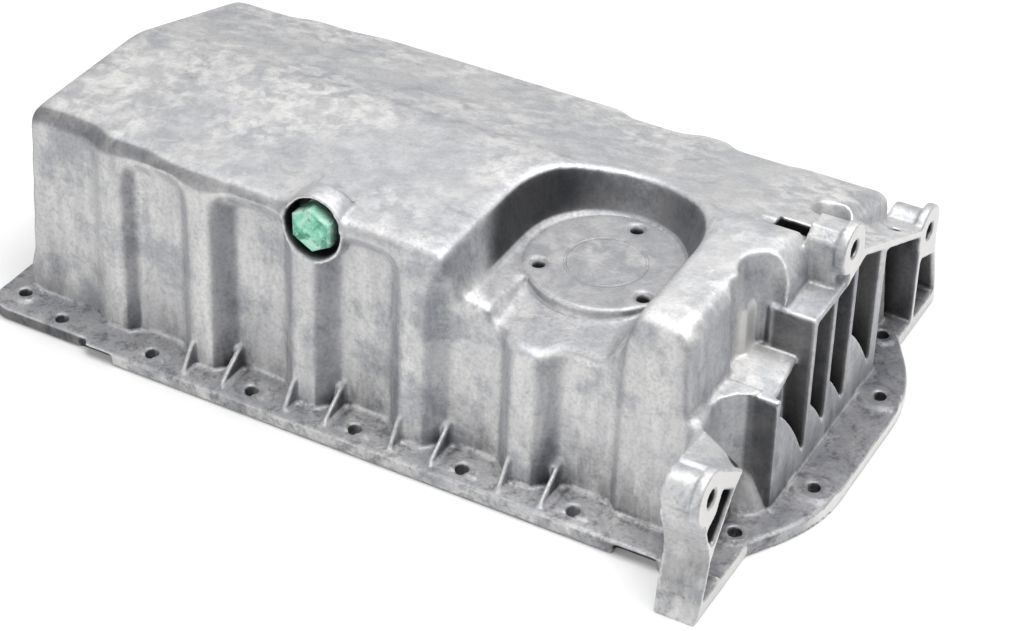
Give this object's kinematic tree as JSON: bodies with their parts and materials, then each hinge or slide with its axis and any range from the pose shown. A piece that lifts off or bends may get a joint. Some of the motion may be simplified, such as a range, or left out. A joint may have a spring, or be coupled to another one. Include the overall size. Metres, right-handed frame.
{
  "type": "engine oil pan",
  "caption": "Die-cast aluminium engine oil pan with fluted walls, a round pad in a pocket, gearbox ears and a screw-out drain plug.",
  "frame": {"origin": "centre of the rectangle of the four outer bolts of the two straight rows, on the sealing face of the block flange", "axes": "+X along the engine towards the gearbox end, +Z from the sealing face towards the bottom of the sump"},
  "size_m": [0.4437, 0.2925, 0.1262],
  "materials": {
    "cast_aluminium": "as cast, mottled",
    "plug_green": "green coating, scuffed",
    "ring_metal": "plain"
  },
  "bodies": {
    "casting": {"sump_casting": "cast_aluminium"},
    "ring": {"seal_ring": "ring_metal"},
    "plug": {"drain_plug": "plug_green"}
  },
  "joints": [
    {"name": "plug_travel", "type": "slide", "parent": "casting", "child": "ring", "axis": [0, -1, 0], "range_m": [0, 0.015]},
    {"name": "plug_turn", "type": "hinge", "parent": "ring", "child": "plug", "pos_m": [-0.028, -0.0875, 0.109], "axis": [0, -1, 0], "range_deg": [0, 3600]}
  ],
  "couplings": [
    {"joint": "plug_turn", "follows": "plug_travel", "rad_per_m": 4188.8}
  ]
}
